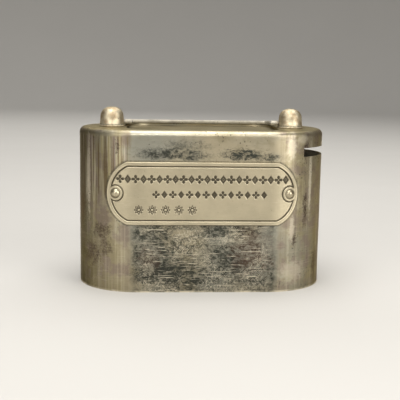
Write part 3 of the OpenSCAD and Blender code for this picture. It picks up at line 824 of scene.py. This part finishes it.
def rosette(u, v, size, line):
    """Depth of an engraved outline of a round flower."""
    petals = 8
    radius, turn = np.hypot(u, v), np.arctan2(v, u)
    rim = size * (0.86 + 0.14 * np.cos(petals * turn))
    ring = 1 - smooth(abs(radius - rim + line), line * 0.4, line * 0.85)
    hub = 1 - smooth(abs(radius - size * 0.34), line * 0.35, line * 0.8)
    return np.maximum(ring, hub)


def ornament(along, z):
    """Depth of three rows of plain engraved flowers and lozenges."""
    depth = np.zeros_like(along)
    for start, end, height, count, size, rosettes in ORNAMENT_ROWS:
        for index, at in enumerate(np.linspace(start, end, count)):
            near = (abs(along - at) < size * 1.3) & (abs(z - height) < size * 1.3)
            u, v = along[near] - at, z[near] - height
            if rosettes:
                mark = rosette(u, v, size, 0.42)
            elif index % 2 == 0:
                mark = four_leaves(u, v, size * 1.08)
            else:
                mark = lozenge(u, v, size * 0.86, size * 1.12, 0.72)
            depth[near] = np.maximum(depth[near], mark)
    return depth


def plate_grid():
    """Distance along and height of the points of the plate's face, from its middle, closer at its edges."""
    edge_w, edge_steps, steps_up, steps_along = 3.2, 32, 112, 376
    edge = np.linspace(0, edge_w, edge_steps + 1)[:-1]
    height, length = 2 * PLATE_HALF_H, 2 * PLATE_HALF
    rise = np.concatenate([edge, np.linspace(edge_w, height - edge_w, steps_up + 1), height - edge[::-1]])
    rise = rise - PLATE_HALF_H
    run = np.concatenate([edge, np.linspace(edge_w, length - edge_w, steps_along + 1), length - edge[::-1]])
    run = run / PLATE_HALF - 1
    half_length = PLATE_STRAIGHT + np.sqrt(np.maximum(PLATE_END_R ** 2 - rise ** 2, 0))
    return run[None, :] * half_length[:, None], np.repeat(rise[:, None], len(run), 1)


def plate_relief(along, z):
    """Height over the case's wall, and darkness, of each point of the plate's face."""
    to_edge = PLATE_HALF_H - abs(z)
    to_round = PLATE_END_R - np.hypot(abs(along) - PLATE_STRAIGHT, z)
    inset = np.where(abs(along) > PLATE_STRAIGHT, np.minimum(to_edge, to_round), to_edge)
    from_rivets = [np.hypot(along + PLATE_MIDDLE - rivet, z) for rivet in RIVETS_ALONG]
    field = inset - PLATE_RIM
    for from_rivet in from_rivets:
        field = np.minimum(field, from_rivet - BOSS_R)

    bead_room = 0.05
    level = PLATE_T - bead_room + (PLATE_FIELD - PLATE_T + bead_room) * smooth(field, -0.12, 0.30)
    bead = 0.09 * ridge(inset - 0.42, 0.26)
    lip = 0.05 * ridge(field + 0.45, 0.16) + 0.035 * ridge(field - 0.52, 0.16)
    ripple = 0.012 * np.sin(along * 0.31 + 1.3) * np.sin(z * 0.42 + 0.4)
    rounded = 0.30 * (1 - np.sqrt(np.clip(1 - (1 - np.clip(inset / 0.32, 0, 1)) ** 2, 0, 1)))
    groove = ridge(field + 0.02, 0.27)
    ink = ornament(along, z) * smooth(field, 0.15, 0.5)
    out = level + bead + lip + ripple - rounded - 0.36 * groove - 0.16 * ink

    # Ink in the engraving, and painted shade in the V-groove, in a ring round each rivet head and along the
    # plate's edge
    dark = np.maximum(ink * 0.95, smooth(groove, 0.15, 0.75) * 0.92)
    for from_rivet in from_rivets:
        dark = np.maximum(dark, 0.85 * ridge(from_rivet - RIVET_HEAD_R - 0.05, 0.28))
    return out, np.maximum(dark, 0.5 * ridge(inset, 0.16))


def plate_back(rows, columns):
    """Faces of the plate's edge and its coarser back, and the place in the grid of each back point."""
    border = [(0, c) for c in range(columns)] + [(r, columns - 1) for r in range(1, rows)]
    border += [(rows - 1, c) for c in range(columns - 2, -1, -1)] + [(r, 0) for r in range(rows - 2, 0, -1)]
    number = {}
    for place in border + [(r, c) for r in range(0, rows, BACK_STEP) for c in range(0, columns, BACK_STEP)]:
        number.setdefault(place, rows * columns + len(number))
    faces = []
    for here, ahead in zip(border, border[1:] + border[:1]):
        front_pair = [here[0] * columns + here[1], ahead[0] * columns + ahead[1]]
        faces.append(front_pair + [number[ahead], number[here]])
    for r in range(0, rows - 1, BACK_STEP):
        for c in range(0, columns - 1, BACK_STEP):
            top, right = r + BACK_STEP, c + BACK_STEP
            loop = [(r, k) for k in range(c, right)] + [(k, right) for k in range(r, top)]
            loop += [(top, k) for k in range(right, c, -1)] + [(k, c) for k in range(top, r, -1)]
            faces.append([number[place] for place in loop if place in number])
    return faces, [r * columns + c for r, c in number]


def build_name_plate():
    """Satin plate round the front: beaded border, V-groove, bosses for its rivets and an engraved field."""
    along, z = plate_grid()
    out, dark = plate_relief(along, z)
    back_out = 0.02
    face = on_plate(along + PLATE_MIDDLE, z + PLATE_Z, out).reshape(-1, 3)
    back = on_plate(along + PLATE_MIDDLE, z + PLATE_Z, np.full_like(along, back_out)).reshape(-1, 3)
    back_faces, back_places = plate_back(*along.shape)
    points = np.concatenate([face, back[back_places]])
    faces = grid_faces(*along.shape).tolist() + back_faces
    shade = np.concatenate([dark.ravel(), np.zeros(len(back_places))])
    plate = make_mesh("engraved_plate", points, faces, sharp_over=60, attributes={"dark": shade})
    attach(plate, "case")
    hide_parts("name_plate")
    return plate


def build_plate_rivets():
    """Two round-head rivets: dome, shank through the wall and flat tail."""
    seat = CASE_R + PLATE_FIELD
    dome_r = (RIVET_HEAD_R ** 2 + RIVET_HEAD_H ** 2) / (2 * RIVET_HEAD_H)
    half_turn = math.degrees(math.asin(RIVET_HEAD_R / dome_r))
    dome = arc((0, RIVET_HEAD_H - dome_r), dome_r, 90, 90 - half_turn, 16)
    shank_r = 0.8
    inside = -PLATE_FIELD - WALL
    profile = dome + [(RIVET_HEAD_R - 0.06, -0.02), (shank_r, -0.02), (shank_r, inside - 0.06)]
    profile += [(1.25, inside - 0.06), (1.3, inside - 0.16), (1.15, inside - 0.6), (0, inside - 0.66)]
    parts = []
    for turn in RIVET_TURNS:
        across, out = math.sin(turn), -math.cos(turn)
        origin = (math.copysign(HALF_STRAIGHT, turn) + seat * across, seat * out, PLATE_Z)
        parts.append(lathe(profile, origin, (across, out, 0), 48))
    points, faces = join_parts(parts)
    rivets = make_mesh("plate_rivets", points, faces, sharp_over=50)
    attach(rivets, "case")
    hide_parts("name_plate_rivets")
    return rivets


# ---------- stage, lights and camera ----------


WARM_WHITE = (1.0, 0.97, 0.92)
MILD_WHITE = (1.0, 0.98, 0.95)
# Softboxes: name, place, the place that they face, width and height, power in watts, tint
SOFTBOXES = [
    ("left_strip", (-400, -500, 250), (0, 0, 40), (260, 440), 1.0, WARM_WHITE),
    ("right_strip", (430, -480, 250), (0, 0, 40), (320, 440), 2.1, WARM_WHITE),
    ("top", (-40, -110, 760), (0, 0, 40), (620, 640), 4.9, MILD_WHITE),
    ("front", (-70, -460, 330), (0, 0, 40), (200, 130), 0.7, WARM_WHITE),
    ("behind", (-60, 700, 700), (0, 760, 0), (1300, 500), 4.0, (1.0, 0.98, 0.94)),
]
# The sky's strength grows with the height of the direction that it is seen in
SKY_HEIGHTS = {FROM_LOW: 0.1, FROM_HIGH: 0.8}
SKY_STRENGTHS = {TO_LOW: 0.07, TO_HIGH: 0.42}
# The photograph's view: place in millimetres, turns in radians, lens in millimetres
CAMERA_PLACE = (-24.25, -350.3, 88.5)
PITCH, YAW, ROLL = 0.1545, -0.0685, 0.0155
LENS = 74.8


def build_floor():
    """Seamless pale sweep: a round floor that curves up into a low wall all the way round."""
    flat_r, rise, wall_top = 1500, 500, 1100
    profile = [(0, 0), (flat_r / 2, 0), (flat_r, 0)]
    profile += arc((flat_r, rise), rise, -84, 0, 14) + [(flat_r + rise, wall_top)]
    points, faces = lathe(profile, (0, 0, 0), (0, 0, 1), 96)
    floor = make_mesh("studio_floor", points, faces, sharp_over=180)
    s = Surface("pale_floor", metallic=0.0)
    tone = s.mix(s.noise(0.004, 2), (0.54, 0.53, 0.51), (0.57, 0.56, 0.54))
    s.finish(tone, s.step(s.noise(0.02, 2), 0.3, 0.7, 0.75, 0.85), s.noise(0.05, 2), 0.01)
    floor.data.materials.append(s.material)


def soft_light(name, place, aim, size, power, tint):
    """Rectangular softbox at place, facing aim, in millimetres; size is its width and height."""
    data = bpy.data.lights.new(name, "AREA")
    data.shape = "RECTANGLE"
    data.size, data.size_y = size[0] * MM, size[1] * MM
    data.energy = power
    data.color = tint
    lamp = bpy.data.objects.new(name, data)
    lamp.location = Vector(place) * MM
    lamp.rotation_mode = "QUATERNION"
    lamp.rotation_quaternion = (Vector(aim) - Vector(place)).to_track_quat("-Z", "Y")
    bpy.context.scene.collection.objects.link(lamp)


def build_lights():
    """Softboxes, and a sky that is dim low down and brighter overhead."""
    world = bpy.data.worlds.new("studio")
    world.use_nodes = True
    nodes, links = world.node_tree.nodes, world.node_tree.links
    sky = nodes["Background"]
    sky.inputs["Color"].default_value = colour(MILD_WHITE)
    direction = nodes.new("ShaderNodeSeparateXYZ")
    links.new(nodes.new("ShaderNodeTexCoord").outputs["Generated"], direction.inputs[0])
    rise = nodes.new("ShaderNodeMapRange")
    for socket, value in {**SKY_HEIGHTS, **SKY_STRENGTHS}.items():
        rise.inputs[socket].default_value = value
    links.new(direction.outputs["Z"], rise.inputs[VALUE])
    links.new(rise.outputs[0], sky.inputs["Strength"])
    bpy.context.scene.world = world
    bpy.context.scene.view_settings.view_transform = "Standard"
    for softbox in SOFTBOXES:
        soft_light(*softbox)


def build_camera():
    """Camera at the photograph's angle: 8.9 degrees above the object, a little to its left."""
    ahead = Vector((-math.sin(YAW) * math.cos(PITCH), math.cos(YAW) * math.cos(PITCH), -math.sin(PITCH)))
    level = Vector((math.cos(YAW), math.sin(YAW), 0))
    above = level.cross(ahead)
    right = math.cos(ROLL) * level + math.sin(ROLL) * above
    up = math.cos(ROLL) * above - math.sin(ROLL) * level
    data = bpy.data.cameras.new("camera")
    data.sensor_width = 36
    data.lens = LENS
    data.clip_start, data.clip_end = 0.01, 20
    camera = bpy.data.objects.new("camera", data)
    place = Matrix.Translation(Vector(CAMERA_PLACE) * MM)
    camera.matrix_world = place @ Matrix((right, up, -ahead)).transposed().to_4x4()
    bpy.context.scene.collection.objects.link(camera)
    bpy.context.scene.camera = camera


# ---------- the bank ----------


def dress(thing, material):
    """Gives a piece or a CAD node that one material."""
    thing.data.materials.clear()
    thing.data.materials.append(material)


build_camera()
build_floor()
build_lights()

worn_nickel = case_nickel()
post_nickel = satin_nickel(
    "post_nickel", (0.66, 0.59, 0.43), (0.40, 0.31, 0.20), rough=(0.40, 0.54), speck=1.0, depth=0.08,
    blotch=0.38, dark_band_z=CASE_H + 0.75)
rivet_nickel = satin_nickel("rivet_nickel", (0.56, 0.50, 0.36), (0.42, 0.36, 0.25), (0.28, 0.40), speck=0.8)
plate_nickel = satin_nickel(
    "plate_nickel", (0.57, 0.505, 0.36), (0.49, 0.435, 0.31), rough=(0.36, 0.48), speck=0.25, depth=0.008,
    filled=True)
handle_nickel = satin_nickel(
    "handle_nickel", (0.47, 0.44, 0.37), (0.31, 0.29, 0.24), rough=(0.42, 0.58), metallic=0.5, blotch=0.2)
# Painted darker than the case's nickel: painted shade and dark reflection of the sunk panel
panel_nickel_shaded = satin_nickel(
    "panel_nickel_shaded", (0.34, 0.30, 0.205), (0.23, 0.20, 0.13), rough=(0.34, 0.50), depth=0.03)
door_nickel = satin_nickel("door_nickel", (0.52, 0.50, 0.43), (0.38, 0.34, 0.27), depth=0.03)
bare_steel = inner_metal("bare_steel", (0.34, 0.33, 0.31), (0.22, 0.20, 0.18))
# Near black for the coin chute and flap: painted shade inside the slot
dark_steel = inner_metal("dark_steel", (0.10, 0.10, 0.09), (0.06, 0.055, 0.05))
spring_steel = inner_metal("spring_steel", (0.42, 0.42, 0.42), (0.30, 0.29, 0.28), rust=0.1)
lock_brass = inner_metal("lock_brass", (0.62, 0.48, 0.24), (0.42, 0.31, 0.15), rust=0.15)

dress(build_case(), worn_nickel)
dress(build_post("post_cap_left", "post_left"), post_nickel)
dress(build_post("post_cap_right", "post_right"), post_nickel)
dress(build_handle(), handle_nickel)
dress(build_name_plate(), plate_nickel)
dress(build_plate_rivets(), rivet_nickel)

# The CAD nodes that keep their own mesh, under the material that each one gets
FINISHES = {
    panel_nickel_shaded: ["top_plate"],
    door_nickel: ["hinge_leaf", "bottom_door", "lock_rivets"],
    bare_steel: ["post_studs", "handle_pin_left", "handle_pin_right", "flap_pin", "base_frame",
                 "hinge_leaf_rivets", "hinge_pin", "bolt_keeper", "lock_case", "lock_cap"],
    dark_steel: ["coin_chute", "coin_flap"],
    spring_steel: ["flap_spring", "drill_pin", "bolt_spring"],
    lock_brass: ["keyhole_escutcheon", "ward_ring", "lock_bolt"],
}
# Width, in millimetres, of the softened edges of those that show
SOFT_EDGE = {
    "bottom_door": 0.2, "hinge_leaf": 0.15, "lock_case": 0.15, "lock_cap": 0.15, "keyhole_escutcheon": 0.12,
    "coin_flap": 0.1, "lock_bolt": 0.15, "bolt_keeper": 0.15, "top_plate": 0.1,
}
for material, names in FINISHES.items():
    for node_name in names:
        cad_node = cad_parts[node_name]
        dress(cad_node, material)
        if node_name in SOFT_EDGE:
            soften(cad_node, SOFT_EDGE[node_name])

bpy.context.view_layer.update()
